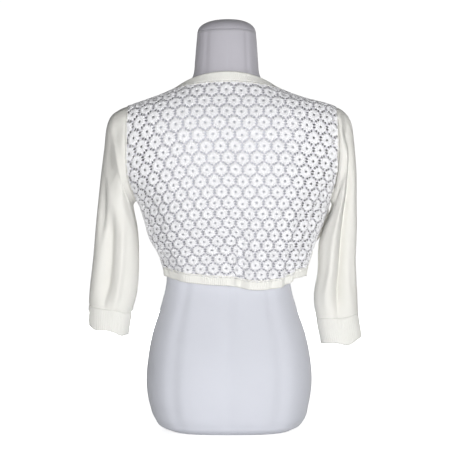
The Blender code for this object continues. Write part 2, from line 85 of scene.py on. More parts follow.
# Depths in metres and widths in turns. The channels start above the base and are shallower on the neck.
CHANNEL = (0.0026, 5.5)
STITCH_LINE = (0.0004, 0.45)
CHANNEL_FOOT = 0.03
CHANNEL_NECK = (0.60, 0.64)
CHANNEL_NECK_LOSS = 0.6
NECK_SHADE = (0.60, 0.66)
BASE_CURVE = 0.02
BASE_STEPS = 10
UPPER_STEPS = 120
FORM_COLUMNS = 144
FORM_ROWS = 150
TOUCHING = 1e-6
CRISP_ANGLE = 50
# The arms of a knitted V slant by most of a course, and the yarn's rows are this much of its relief.
V_SLANT = 0.9
V_RELIEF = 0.6


def table(rows, name):
    return np.array([getattr(row, name) for row in rows])


def curve(knots, values, at):
    """A cubic curve through the knots, with each slope taken from the two neighbours."""
    knots, values = np.asarray(knots, float), np.asarray(values, float)
    slopes = np.gradient(values, knots)
    place = np.clip(np.searchsorted(knots, at) - 1, 0, len(knots) - 2)
    span = knots[place + 1] - knots[place]
    t = np.clip((at - knots[place]) / span, 0, 1)
    start = (1 + 2 * t) * (1 - t) ** 2 * values[place] + t * (1 - t) ** 2 * span * slopes[place]
    return start + t * t * (3 - 2 * t) * values[place + 1] + t * t * (t - 1) * span * slopes[place + 1]


def ease(value):
    value = np.clip(value, 0.0, 1.0)
    return value * value * (3 - 2 * value)


def swell(value):
    """A smooth bump, 1 at 0 and almost nothing past 2."""
    return np.exp(-np.square(value))


def apart(turn, other):
    """How far one turn is from another, the short way round."""
    return (turn - other + 180) % 360 - 180


def unit(vectors):
    return vectors / np.linalg.norm(vectors, axis=-1, keepdims=True)


def oval(body, turn, height):
    """Points on a body's skin. Its sections are full ovals, rounder at the neck."""
    turn, height = np.broadcast_arrays(np.asarray(turn, float), np.asarray(height, float))
    heights, angle = table(body.sections, "height"), np.radians(turn)
    reaches = (table(body.sections, name) for name in Section._fields[1:])
    left, right, back, front = (curve(heights, reach, height) for reach in reaches)
    side = np.where(np.sin(angle) >= 0, left, right)
    backwards = np.cos(angle) >= 0
    torso = np.where(backwards, body.back_fullness, body.front_fullness)
    on_neck = ease((height - NECK_BASE[0]) / (NECK_BASE[1] - NECK_BASE[0]))
    fullness = torso + (NECK_FULLNESS - torso) * on_neck
    depth = np.abs(np.where(backwards, back, front)) * (1 + fullness * np.sin(angle) ** 2)
    return np.stack([side * np.sin(angle), depth * np.cos(angle), height], axis=-1)


def press(points, inwards):
    """Moves points of a body's skin in towards its upright axis."""
    moved = points.copy()
    moved[..., :2] -= inwards[..., None] * unit(points[..., :2])
    return moved


def spread(name, columns, rows, place, tube=False, capped=False):
    """A fine sheet on a skin.

    place turns shares across and up into points, and into a flat place in metres.
    """
    shape = bmesh.new()
    flat = shape.loops.layers.uv.new("flat")
    bmesh.ops.create_grid(shape, x_segments=columns, y_segments=rows, size=0.5)
    shape.verts.index_update()
    shares = np.array([vert.co[:2] for vert in shape.verts]) + 0.5
    points, laid = place(shares[:, 0], shares[:, 1])
    for vert, point in zip(shape.verts, points):
        vert.co = point
    for face in shape.faces:
        for loop in face.loops:
            loop[flat].uv = laid[loop.vert.index]
    if tube:
        bmesh.ops.remove_doubles(shape, verts=shape.verts, dist=TOUCHING)
    if capped:
        bmesh.ops.holes_fill(shape, edges=shape.edges)
    middle = points.mean(axis=0) if tube else np.array([0, 0, points[:, 2].mean()])
    return finish_mesh(name, shape, middle)


def finish_mesh(name, shape, middle):
    """Makes an object of a shape, with its faces turned away from the middle."""
    shape.normal_update()
    middle = Vector(middle)
    outwards = sum(face.calc_area() * (face.calc_center_median() - middle).dot(face.normal)
                   for face in shape.faces)
    if outwards < 0:
        bmesh.ops.reverse_faces(shape, faces=shape.faces)
    mesh = bpy.data.meshes.new(name)
    shape.to_mesh(mesh)
    shape.free()
    mesh.shade_smooth()
    piece = bpy.data.objects.new(name, mesh)
    bpy.context.scene.collection.objects.link(piece)
    return piece


def thicken(piece, thickness):
    """Gives a sheet its wall, grown inwards from the face that shows, with crisp edges."""
    wall = piece.modifiers.new("wall", "SOLIDIFY")
    wall.thickness = thickness
    wall.offset = -1
    wall.use_even_offset = False
    piece.data.set_sharp_from_angle(angle=math.radians(CRISP_ANGLE))


def linear(code):
    """The linear colour of an sRGB hex value such as #C8C8C8."""
    parts = [int(code[i : i + 2], 16) / 255 for i in (1, 3, 5)]
    return tuple(p / 12.92 if p <= 0.04045 else ((p + 0.055) / 1.055) ** 2.4 for p in parts) + (1.0,)


def add(tree, kind, inputs=None, **settings):
    """Adds a node, with its settings, and with values or other nodes' sockets on its inputs."""
    node = tree.nodes.new("ShaderNode" + kind)
    for name, value in settings.items():
        setattr(node, name, value)
    for socket, value in (inputs or {}).items():
        if isinstance(value, bpy.types.NodeSocket):
            tree.links.new(value, node.inputs[socket])
        else:
            node.inputs[socket].default_value = value
    return node


def finish_of(name, roughness, sheen):
    """A new cloth material and its tree and shader."""
    material = bpy.data.materials.new(name)
    material.use_nodes = True
    tree = material.node_tree
    surface = tree.nodes["Principled BSDF"]
    surface.inputs["Roughness"].default_value = roughness
    surface.inputs["Specular IOR Level"].default_value = 0.25
    surface.inputs["Sheen Weight"].default_value = sheen
    surface.inputs["Sheen Roughness"].default_value = 0.45
    return material, tree, surface


def stockinette(tree, wale, course):
    """The height of plain knitting: columns of V stitches, on the cloth's own flat map."""
    flat = add(tree, "UVMap", uv_map="flat").outputs[0]
    place = add(tree, "SeparateXYZ", {0: flat}).outputs
    # How far across a column, and how far out on an arm of the V.
    column = add(tree, "Math", {0: place[0], 1: wale}, operation="DIVIDE").outputs[0]
    column = add(tree, "Math", {0: column}, operation="FRACT").outputs[0]
    arm = add(tree, "Math", {0: column, 1: 2.0, 2: -1.0}, operation="MULTIPLY_ADD").outputs[0]
    arm = add(tree, "Math", {0: arm}, operation="ABSOLUTE").outputs[0]
    # Rows that slant down along each arm.
    row = add(tree, "Math", {0: place[1], 1: course}, operation="DIVIDE").outputs[0]
    slant = add(tree, "Math", {0: arm, 1: V_SLANT}, operation="MULTIPLY").outputs[0]
    leg = add(tree, "Math", {0: row, 1: slant}, operation="SUBTRACT").outputs[0]
    leg = add(tree, "Math", {0: leg, 1: 2 * math.pi}, operation="MULTIPLY").outputs[0]
    yarn = add(tree, "Math", {0: leg}, operation="COSINE").outputs[0]
    yarn = add(tree, "Math", {0: yarn, 1: 0.5, 2: 0.5}, operation="MULTIPLY_ADD").outputs[0]
    yarn = add(tree, "Math", {0: yarn, 1: V_RELIEF, 2: 1 - V_RELIEF}, operation="MULTIPLY_ADD").outputs[0]
    # Each arm is round across its yarn.
    edge = add(tree, "Math", {0: arm, 1: 2.0, 2: -1.0}, operation="MULTIPLY_ADD").outputs[0]
    edge = add(tree, "Math", {0: edge, 1: edge}, operation="MULTIPLY").outputs[0]
    body = add(tree, "Math", {0: 1.0, 1: edge}, operation="SUBTRACT").outputs[0]
    return add(tree, "Math", {0: yarn, 1: body}, operation="MULTIPLY").outputs[0]


def knitted(name, roughness, sheen, colours, patches, stitch, relief, over=None):
    """A knitted cloth of two colours in soft uneven patches, with its stitches in relief.

    patches is how many there are to a metre, stitch is a wale and a course, and relief is a depth and a
    strength. over is a share that a function works out from the tree, and the colour laid over by it.
    """
    material, tree, surface = finish_of(name, roughness, sheen)
    place = add(tree, "TexCoord").outputs["Object"]
    patch = add(tree, "TexNoise", {"Vector": place, "Scale": patches, "Detail": 3.0}).outputs[0]
    low, high = map(linear, colours)
    colour = add(tree, "Mix", {0: patch, 6: low, 7: high}, data_type="RGBA").outputs[2]
    if over:
        share, top = over[0](tree), linear(over[1])
        colour = add(tree, "Mix", {0: share, 6: colour, 7: top}, data_type="RGBA").outputs[2]
    tree.links.new(colour, surface.inputs["Base Color"])
    depth, strength = relief
    height = stockinette(tree, *stitch)
    bump = add(tree, "Bump", {"Height": height, "Distance": depth, "Strength": strength})
    tree.links.new(bump.outputs[0], surface.inputs["Normal"])
    return material


def up_neck(tree):
    """How far up the form's neck a place is."""
    place = add(tree, "TexCoord").outputs["Object"]
    height = add(tree, "SeparateXYZ", {0: place}).outputs[2]
    return add(tree, "MapRange", {0: height, 1: NECK_SHADE[0], 2: NECK_SHADE[1]}).outputs[0]


def form_spot(across, up):
    """The skin of the form, pressed in along the seams of its cover."""
    turn = 360 * across - 180
    lower = np.linspace(0, BASE_CURVE, BASE_STEPS)
    upper = np.linspace(BASE_CURVE, FORM[-1].height, UPPER_STEPS)
    heights = np.unique(np.concatenate([lower, upper]))
    height = np.interp(up, np.linspace(0, 1, len(heights)), heights)
    points = oval(TORSO, turn, height)
    channels = 0
    for depth, wide in (CHANNEL, STITCH_LINE):
        channels = channels + sum(depth * swell(apart(turn, at) / wide) for at in COVER_SEAMS)
    on_neck = ease((height - CHANNEL_NECK[0]) / (CHANNEL_NECK[1] - CHANNEL_NECK[0]))
    channels = channels * ease(height / CHANNEL_FOOT) * (1 - CHANNEL_NECK_LOSS * on_neck)
    girth = np.hypot(points[:, 0], points[:, 1])
    return press(points, channels), np.column_stack([np.radians(turn) * girth, height])


form_body = spread("form_body", FORM_COLUMNS, FORM_ROWS, form_spot, tube=True, capped=True)

# Grey stretch jersey, machine knitted and pulled tight: matt, even, with a faint cool cast and a fine
# column grain. Its 0.8 mm stitches are too fine to show, so they are drawn at 2 mm.
cover = knitted("stretch_jersey_cover", roughness=0.85, sheen=0.25, colours=("#CCCED6", "#D3D5DD"),
                patches=9.0, stitch=(0.0020, 0.0016), relief=(0.00025, 0.4), over=(up_neck, "#B4B2B9"))
form_body.data.materials.append(cover)
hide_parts("form_torso")
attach(form_body, "root")

# --------------------------------------------------------------------------------------------------------
# Neck cap. A domed plug under a drawn circle of the same jersey, tucked into the top of the neck; the
# tuck leaves a narrow groove all round.
# --------------------------------------------------------------------------------------------------------
CAP_EDGE = 0.737
CAP_RISE = 0.023
CAP_SCALE = 0.985
CAP_ROUNDNESS = 0.8
CAP_COLUMNS = 96
CAP_ROWS = 16


def cap_spot(across, up):
    """The dome of the cap, from its edge to its crown."""
    turn = 360 * across - 180
    rise = np.radians(90 * up)
    points = oval(TORSO, turn, FORM[-1].height)
    points[:, :2] *= (CAP_SCALE * np.cos(rise) ** CAP_ROUNDNESS)[:, None]
    points[:, 2] = CAP_EDGE + CAP_RISE * np.sin(rise)
    return points, points[:, :2].copy()


neck_cap = spread("neck_cap", CAP_COLUMNS, CAP_ROWS, cap_spot, tube=True, capped=True)

# The same jersey, pulled tighter over the dome, so a little darker and smoother.
cap_cloth = knitted("drawn_jersey_cap", roughness=0.85, sheen=0.2, colours=("#A3A1A8", "#ACAAB1"),
                    patches=14.0, stitch=(0.0020, 0.0016), relief=(0.0002, 0.35))
neck_cap.data.materials.append(cap_cloth)
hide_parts("form_neck_cap")
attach(neck_cap, "root")

# --------------------------------------------------------------------------------------------------------
# Lace back. One panel of machine-knitted cotton lace, in offset rows of round daisies. Each is a ring of
# padded petals round an eyelet, and joins its six neighbours between pairs of holes. A plain selvedge
# holds the panel's edges.
# --------------------------------------------------------------------------------------------------------
Spot = namedtuple("Spot", "across height")
Fold = namedtuple("Fold", "at wide top bottom depth")
Side = namedtuple("Side", "name sign tip underarm seam")
Shift = namedtuple("Shift", "size top reach")

SHRUG = [
    Section(0.250, 0.119, 0.143, 0.087, -0.103),
    Section(0.285, 0.121, 0.1465, 0.090, -0.104),
    Section(0.319, 0.130, 0.1555, 0.094, -0.107),
    Section(0.352, 0.148, 0.166, 0.098, -0.112),
    Section(0.386, 0.158, 0.1795, 0.102, -0.120),
    Section(0.422, 0.172, 0.191, 0.105, -0.127),
    Section(0.450, 0.196, 0.203, 0.107, -0.130),
    Section(0.480, 0.222, 0.224, 0.108, -0.130),
    Section(0.520, 0.236, 0.238, 0.106, -0.120),
    Section(0.556, 0.234, 0.236, 0.102, -0.106),
    Section(0.579, 0.223, 0.226, 0.096, -0.094),
    Section(0.590, 0.208, 0.213, 0.091, -0.086),
    Section(0.601, 0.180, 0.190, 0.0855, -0.078),
    Section(0.612, 0.148, 0.147, 0.0795, -0.071),
    Section(0.6235, 0.118, 0.114, 0.0735, -0.066),
    Section(0.635, 0.0965, 0.0900, 0.0680, -0.063),
    Section(0.646, 0.0825, 0.0750, 0.0635, -0.062),
    Section(0.658, 0.0755, 0.0680, 0.0600, -0.063),
]
WORN = Body(SHRUG, back_fullness=0.25, front_fullness=-0.20)
# Turns and heights round the body. A fold deepens from its top to its bottom, and one with a negative
# depth swells out: two of them make the slack under the right arm, which swells and then falls in again.
BODY_FOLDS = [
    Fold(-9, 4.5, 0.430, 0.330, 0.0130),
    Fold(-40, 10, 0.420, 0.310, 0.0020),
    Fold(-35, 4, 0.430, 0.340, 0.0040),
    Fold(26, 10, 0.420, 0.310, 0.0040),
    Fold(-66, 11, 0.470, 0.390, 0.0030),
    Fold(58, 10, 0.470, 0.400, 0.0050),
    Fold(128, 12, 0.480, 0.400, 0.0030),
    Fold(-128, 12, 0.480, 0.400, 0.0030),
    Fold(-50, 4.5, 0.455, 0.370, 0.0075),
    Fold(-62, 4, 0.460, 0.390, 0.0070),
    Fold(71, 4, 0.450, 0.380, 0.0035),
    Fold(11, 5, 0.380, 0.290, 0.0020),
    Fold(-105, 8, 0.428, 0.396, -0.0115),
    Fold(-105, 8, 0.356, 0.334, 0.0115),
]
LEFT_SEAM = [
    Spot(0.172, 0.422),
    Spot(0.181, 0.447),
    Spot(0.185, 0.475),
    Spot(0.186, 0.530),
    Spot(0.185, 0.599),
]
RIGHT_SEAM = [
    Spot(0.190, 0.424),
    Spot(0.195, 0.445),
    Spot(0.199, 0.475),
    Spot(0.200, 0.530),
    Spot(0.199, 0.597),
]
HEM_SIDE_HEIGHT = 0.284
HEM_DIP = 0.0155
HEM_ROUND = 1.4
# The hem is lower again in a flat stretch on the wearer's right of the middle.
HEM_LOW_TURN = -32
HEM_LOW_WIDE = 24
HEM_LOW_DIP = 0.0105
HEM_LOW_FLATNESS = 4
HEM_BAND = 0.015
SIDE_SEAM_TURN = 84
NECK_SIDE_HEIGHT = 0.626
NECK_BACK_HEIGHT = 0.640
SEAM_GAP = 0.0003
NEAR_TURN = 0.5
NEAR_HEIGHT = 0.0005

LEFT = Side("left", sign=1, tip=0.598, underarm=0.422, seam=LEFT_SEAM)
RIGHT = Side("right", sign=-1, tip=0.5965, underarm=0.424, seam=RIGHT_SEAM)

PITCH = 0.0252
ROW = 0.0200
FIRST_ROW = 0.0065
STRETCH_ACROSS = (0.94, 1.07)
STRETCH_UP = (0.8575, 1.155)
STRETCH_LENGTH = 0.35
LACE_ROWS = range(-2, 23)
LACE_COLUMNS = range(-12, 13)
SECTORS = 30
SIDE_SECTORS = SECTORS // 6
HOLE_SECTORS = (1, 3)
# Where the spokes end along an upright side of a daisy's six-sided edge, and along a slanted one.
UPRIGHT_SPOKES = (0.0, 0.17, 0.41, 0.59, 0.83)
SLANTED_SPOKES = (0.0, 0.23, 0.41, 0.59, 0.77)
EYELET = 0.00165
# Radius and relief of each ring of a daisy, and how much more its petals stand up than the dents between
# them.
DAISY = [(0.0036, 0.0006, 0.0002), (0.0080, 0.0009, 0.0008), (0.0103, 0.0004, 0.0006)]
JOIN_RELIEF = -0.0010
# Painted shade in the sunken joins between the petals, which also stands for the grey form showing through
# the thin net there. It starts this high on a daisy and is whole this far below it, and the last pair says
# which share of it begins to look darker, and which is darkest.
JOIN_SHADE_TOP = 0.0002
JOIN_SHADE_DEPTH = 0.0012
JOIN_SHADE_SPAN = (0.30, 0.85)
BACK_MIDDLE = (0, 0, 0.45)
LACE_SINK = 0.0008
LACE = 0.0011
LACE_JOIN = 0.00003
LEAST_EDGE = 0.0001
# The lace is pulled up all round the low back, hangs lower again on the wearer's right of the middle, and
# sags on the left. Low down it leans to the right, and high up to the left. Each grows from its top, over
# its reach, and the upper lean over the upper half of the panel.
RISE = Shift(0.0105, 0.42, 0.13)
DROP = Shift(0.0118, 0.42, 0.12)
DROP_START = 3
DROP_TURNS = 12
LEFT_SAG = Shift(0.006, 0.60, 0.10)
SAG_WIDTH = 0.14
LOW_LEAN = Shift(0.008, 0.40, 0.10)
UPPER_LEAN = 0.004
UPPER_LEAN_START = 0.5
SELVEDGE = 0.0035
SELVEDGE_INSET = 0.0004
SELVEDGE_LIFT = 0.0002
SELVEDGE_WALL = 0.0012
SELVEDGE_POINTS = 120
SIDE_SELVEDGE_COLUMNS = 150
NECK_SELVEDGE_COLUMNS = 100
HEM_SELVEDGE_COLUMNS = 120
SELVEDGE_ROWS = 3
# How many times as wide the selvedge is along the shoulders, below each arm, and along the neck and hem.
SHOULDER_WIDER = 2.6
SHOULDER_CORNER = 0.004
UNDERARM_WIDER = {"left": 1.2, "right": 2.4}
END_WIDER = 0.8
NECK_LACE_TURN = 88


def body_skin(turn, height):
    """The outer face of the shrug's body, with its folds pressed in."""
    points = oval(WORN, turn, height)
    inwards = sum(fold.depth * ease((fold.top - height) / (fold.top - fold.bottom))
                  * swell(apart(turn, fold.at) / fold.wide) for fold in BODY_FOLDS)
    return press(points, np.broadcast_to(inwards, points.shape[:-1]))


def body_facing(turn, height):
    """The outward normals of the shrug's body."""
    across = body_skin(turn + NEAR_TURN, height) - body_skin(turn - NEAR_TURN, height)
    up = body_skin(turn, height + NEAR_HEIGHT) - body_skin(turn, height - NEAR_HEIGHT)
    return unit(np.cross(up, across))


def hem_height(turn):
    """The lower edge of the hem band."""
    dip = HEM_DIP * np.maximum(np.cos(np.radians(np.clip(turn, -90, 90))), 0) ** HEM_ROUND
    low = np.exp(-(((turn - HEM_LOW_TURN) / HEM_LOW_WIDE) ** HEM_LOW_FLATNESS))
    return HEM_SIDE_HEIGHT - dip - HEM_LOW_DIP * low


def neck_height(turn, side=NECK_SIDE_HEIGHT, back=NECK_BACK_HEIGHT):
    """The line where the neck band is sewn on, or its top edge."""
    return side + (back - side) * np.cos(np.radians(turn))


def side_turn(side, height):
    """The turn of the side seam, then of the armhole, and then of the shoulder seam."""
    start = hem_height(side.sign * SIDE_SEAM_TURN) + HEM_BAND
    seam = SIDE_SEAM_TURN + (90 - SIDE_SEAM_TURN) * ease((height - start) / (side.underarm - start))
    across = curve(table(side.seam, "height"), table(side.seam, "across"), height)
    width = curve(table(SHRUG, "height"), table(SHRUG, side.name), height)
    armhole = np.degrees(np.arcsin(np.minimum(across / width, 1)))
    return np.where(height < side.underarm, seam, np.where(height < side.tip, armhole, 90.0))


def look_up(values, rows, columns, row, column):
    """Reads a table between its rows and columns."""
    r = np.clip((row - rows[0]) / (rows[1] - rows[0]), 0, len(rows) - 1.001)
    c = np.clip((column - columns[0]) / (columns[1] - columns[0]), 0, len(columns) - 1.001)
    i, j = r.astype(int), c.astype(int)
    r, c = r - i, c - j
    top = values[i, j] * (1 - c) + values[i, j + 1] * c
    return top * (1 - r) + (values[i + 1, j] * (1 - c) + values[i + 1, j + 1] * c) * r


# Where flat cloth lies on the body: across is measured round the back from its middle, and up along the
# cloth's grain.
heights = np.linspace(0.252, 0.656, 203)
turns = np.linspace(-180, 180, 721)
acrosses = np.linspace(-0.30, 0.30, 301)
ups = np.linspace(-0.03, 0.50, 266)
body_net = body_skin(turns[None, :], heights[:, None])
girths = np.zeros(body_net.shape[:2])
girths[:, 1:] = np.cumsum(np.linalg.norm(np.diff(body_net, axis=1), axis=2), axis=1)
middle = len(turns) // 2
girths -= girths[:, middle : middle + 1]
grain_turns = np.array([np.interp(acrosses, girth, turns) for girth in girths])
grain = body_skin(grain_turns, heights[:, None])
rises = np.zeros(grain.shape[:2])
rises[1:] = np.cumsum(np.linalg.norm(np.diff(grain, axis=0), axis=2), axis=0)
level = HEM_SIDE_HEIGHT + HEM_BAND - HEM_DIP
grain_heights = np.array([np.interp(ups, rise - np.interp(level, heights, rise), heights)
                          for rise in rises.T]).T


def below(shift, height):
    """How much of a shift a height has."""
    return ease((shift.top - height) / shift.reach)


def lay(across, up):
    """The turn and height of a place on the flat lace."""
    height = look_up(grain_heights, ups, acrosses, up, across)
    across = across - LOW_LEAN.size * below(LOW_LEAN, height)
    turn = look_up(grain_turns, heights, acrosses, height, across)
    sag = LEFT_SAG.size * ease(across / SAG_WIDTH) * below(LEFT_SAG, height)
    sag = sag + DROP.size * ease((-turn - DROP_START) / DROP_TURNS) * below(DROP, height)
    return turn, height + RISE.size * below(RISE, height) - sag


def daisy_mesh():
    """One daisy, flat: rings of thirty sectors out to a six-sided edge, which its neighbours share."""
    shape = bmesh.new()
    ring = bmesh.ops.create_circle(shape, segments=SECTORS, radius=EYELET)["verts"]
    edges = list(shape.edges)
    # Corners of the six-sided edge, and where the spokes end on it.
    side_high = (ROW**2 - (PITCH / 2) ** 2) / (2 * ROW)
    top_high = (ROW**2 + (PITCH / 2) ** 2) / (2 * ROW)
    corners = [(PITCH / 2, -side_high), (PITCH / 2, side_high), (0, top_high),
               (-PITCH / 2, side_high), (-PITCH / 2, -side_high), (0, -top_high)]
    rim = [np.array(corners[k]) * (1 - share) + np.array(corners[(k + 1) % 6]) * share
           for k in range(6) for share in (SLANTED_SPOKES if k % 3 else UPRIGHT_SPOKES)]
    spokes = [math.atan2(point[1], point[0]) for point in rim]
    rounds = [[(EYELET, 0.0)] * SECTORS]
    for radius, relief, petal in DAISY:
        rounds.append([(radius, relief + petal * (1 if k % 2 else -1)) for k in range(SECTORS)])
    for at, stage in enumerate(rounds + [None]):
        if at:
            grown = bmesh.ops.extrude_edge_only(shape, edges=edges)["geom"]
            ring = [item for item in grown if isinstance(item, bmesh.types.BMVert)]
            edges = [item for item in grown if isinstance(item, bmesh.types.BMEdge)]
        ring.sort(key=lambda vert: math.atan2(vert.co.y, vert.co.x) % (2 * math.pi))
        turned = sorted(range(SECTORS), key=lambda k: spokes[k] % (2 * math.pi))
        for vert, k in zip(ring, turned):
            if stage:
                # Halfway between an even spacing and the spoke's own end.
                even = 2 * math.pi * (k - SIDE_SECTORS / 2) / SECTORS
                angle = even + 0.5 * ((spokes[k] - even + math.pi) % (2 * math.pi) - math.pi)
                vert.co = (stage[k][0] * math.cos(angle), stage[k][0] * math.sin(angle), stage[k][1])
            else:
                vert.co = (*rim[k], JOIN_RELIEF)
    return shape


def open_holes(shape):
    """Takes out the two holes on each of the six sides."""
    holes = []
    for face in shape.faces:
        middle = face.calc_center_median()
        radius = math.hypot(middle.x, middle.y)
        turned = math.atan2(middle.y, middle.x) / (2 * math.pi)
        sector = int((turned * SECTORS + SIDE_SECTORS / 2) % SECTORS)
        if radius > DAISY[-1][0] and sector % SIDE_SECTORS in HOLE_SECTORS:
            holes.append(face)
    bmesh.ops.delete(shape, geom=holes, context="FACES")


def lace_edge(turn, height):
    """The turn of the lace's edge at a height, on the side that a place is on."""
    return np.where(turn >= 0, side_turn(LEFT, height), side_turn(RIGHT, height))


daisy = daisy_mesh()
open_holes(daisy)
daisy_pattern = bpy.data.meshes.new("daisy")
daisy.to_mesh(daisy_pattern)
daisy.free()

shape = bmesh.new()
flat = shape.loops.layers.uv.new("flat")
sown = []
for row in LACE_ROWS:
    for column in LACE_COLUMNS:
        across = (column + (0.0 if row % 2 else 0.5)) * PITCH
        shape.from_mesh(daisy_pattern)
        sown.append((across, row * ROW + FIRST_ROW))
places = np.array([vert.co for vert in shape.verts])
places[:, :2] += np.repeat(sown, len(daisy_pattern.vertices), axis=0)
for vert, place in zip(shape.verts, places):
    vert.co = place
bmesh.ops.remove_doubles(shape, verts=shape.verts, dist=LACE_JOIN)
shape.verts.index_update()
places = np.array([vert.co for vert in shape.verts])
share_up = places[:, 1] / STRETCH_LENGTH
widened = STRETCH_ACROSS[0] + (STRETCH_ACROSS[1] - STRETCH_ACROSS[0]) * share_up
raised = STRETCH_UP[0] + (STRETCH_UP[1] - STRETCH_UP[0]) * share_up / 2
leaning = UPPER_LEAN * ease((share_up - UPPER_LEAN_START) / UPPER_LEAN_START)
turn, height = lay(places[:, 0] * widened + leaning, places[:, 1] * raised)
edge = lace_edge(turn, height)
beyond = (np.abs(turn) > edge) | (height < hem_height(turn) + HEM_BAND) | (height > neck_height(turn))
turn = np.sign(turn) * np.minimum(np.abs(turn), edge)
height = np.clip(height, hem_height(turn) + HEM_BAND, neck_height(turn))
turn = np.sign(turn) * np.minimum(np.abs(turn), lace_edge(turn, height))
# Painted shade for the sunken joins: more the further a place lies below the top of the daisy's relief.
join_depth_shade = ease((JOIN_SHADE_TOP - places[:, 2]) / JOIN_SHADE_DEPTH)
worn = body_skin(turn, height) + body_facing(turn, height) * (places[:, 2] - LACE_SINK)[:, None]
join_shade = shape.verts.layers.float.new("join_shade")
for vert, share in zip(shape.verts, join_depth_shade):
    vert[join_shade] = share
for face in shape.faces:
    for loop in face.loops:
        loop[flat].uv = places[loop.vert.index, :2]
lost = [face for face in shape.faces if all(beyond[vert.index] for vert in face.verts)]
for vert, point in zip(shape.verts, worn):
    vert.co = point
bmesh.ops.delete(shape, geom=lost, context="FACES")
bmesh.ops.dissolve_degenerate(shape, edges=shape.edges, dist=LEAST_EDGE)
bpy.data.meshes.remove(daisy_pattern)
lace_back = finish_mesh("lace_back", shape, BACK_MIDDLE)
thicken(lace_back, LACE)


def sunk_join_shade(tree):
    """How much painted shade a place gets, from how far it is sunk into the joins between the petals."""
    join_shade = add(tree, "Attribute", attribute_name="join_shade").outputs["Fac"]
    reach = {0: join_shade, 1: JOIN_SHADE_SPAN[0], 2: JOIN_SHADE_SPAN[1]}
    return add(tree, "MapRange", reach, interpolation_type="SMOOTHSTEP").outputs[0]


# Cotton lace yarn, bleached off-white: matt and slightly fuzzy, each petal a fan of short stitches. They
# are too fine to show, so they are drawn at 1.6 mm. The sunken joins between the petals get a painted
# shade.
lace_yarn = knitted("knitted_cotton_lace", roughness=0.92, sheen=0.10, colours=("#E5E5E8", "#EDEDEF"),
                    patches=60.0, stitch=(0.0016, 0.0013), relief=(0.0003, 0.5),
                    over=(sunk_join_shade, "#C9C8CF"))
lace_back.data.materials.append(lace_yarn)
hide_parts("back_lace")
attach(lace_back, "root")


def strip(name, first, last, columns, rows, lift=0.0, rib=None):
    """A strip of cloth on the body between two lists of turns and heights, with ribs across it if given."""
    first, last = np.array(first), np.array(last)
    along = np.linspace(0, 1, len(first))

    def end(edge, across):
        return np.column_stack([np.interp(across, along, edge[:, k]) for k in (0, 1)])

    def place(across, up):
        turn, height = ((1 - up)[:, None] * end(first, across) + up[:, None] * end(last, across)).T
        middle = body_skin(*(first + last).T / 2)
        length = np.concatenate([[0], np.cumsum(np.linalg.norm(np.diff(middle, axis=0), axis=1))])
        run = np.interp(across, along, length)
        width = np.linalg.norm(body_skin(*first.T) - body_skin(*last.T), axis=1).mean()
        proud = np.broadcast_to(lift + (rib(run, up) if rib else 0.0), turn.shape)
        points = body_skin(turn, height) + body_facing(turn, height) * proud[:, None]
        return points, np.column_stack([run, up * width])

    return spread(name, columns, rows, place)


def lace_outline(inset):
    """Turns and heights up the right edge of the lace, and up the left, this far in."""
    sides = []
    for side in (RIGHT, LEFT):
        low = hem_height(side.sign * SIDE_SEAM_TURN) + HEM_BAND
        up = np.linspace(low, NECK_SIDE_HEIGHT, SELVEDGE_POINTS)
        width = curve(table(SHRUG, "height"), table(SHRUG, side.name), up)
        along_armhole = np.where(up < side.tip - SHOULDER_CORNER, 1.0, SHOULDER_WIDER)
        down = np.where(up < side.underarm, UNDERARM_WIDER[side.name], along_armhole)
        away = np.degrees(inset * down / width)
        sides.append(np.column_stack([side.sign * (side_turn(side, up) - away), up]))
    return sides


selvedges = []
for side, edge, inner in zip((RIGHT, LEFT), lace_outline(SELVEDGE_INSET), lace_outline(SELVEDGE)):
    selvedges.append(strip(f"lace_selvedge_{side.name}", edge, inner, SIDE_SELVEDGE_COLUMNS, SELVEDGE_ROWS,
                           lift=SELVEDGE_LIFT))
neck_lace_turns = np.linspace(-NECK_LACE_TURN, NECK_LACE_TURN, NECK_SELVEDGE_COLUMNS)
neck_seam = [(turn, neck_height(turn)) for turn in neck_lace_turns]
neck_inner = [(turn, height - SELVEDGE * END_WIDER) for turn, height in neck_seam]
neck_outer = [(turn, height - SELVEDGE_LIFT) for turn, height in neck_seam]
selvedges.append(strip("lace_selvedge_neck", neck_inner, neck_outer, NECK_SELVEDGE_COLUMNS, SELVEDGE_ROWS,
                       lift=SELVEDGE_LIFT))
hem_turns = np.linspace(-SIDE_SEAM_TURN, SIDE_SEAM_TURN, HEM_SELVEDGE_COLUMNS)
hem_seam = [(turn, hem_height(turn) + HEM_BAND) for turn in hem_turns]
hem_outer = [(turn, height + SELVEDGE_LIFT) for turn, height in hem_seam]
hem_inner = [(turn, height + SELVEDGE * END_WIDER) for turn, height in hem_seam]
selvedges.append(strip("lace_selvedge_hem", hem_outer, hem_inner, HEM_SELVEDGE_COLUMNS, SELVEDGE_ROWS,
                       lift=SELVEDGE_LIFT))

# Plain cotton knit in the same cream yarn: matt, soft, with columns of V stitches. Its 1.4 mm stitches
# are too fine to show, so they are drawn at 2.2 mm.
plain_knit = knitted("plain_cotton_knit", roughness=0.9, sheen=0.10, colours=("#E4E3DD", "#EAE9E4"),
                     patches=16.0, stitch=(0.0022, 0.0017), relief=(0.0004, 0.45))
for selvedge in selvedges:
    thicken(selvedge, SELVEDGE_WALL)
    selvedge.data.materials.append(plain_knit)
    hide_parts("back_lace")
    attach(selvedge, "root")

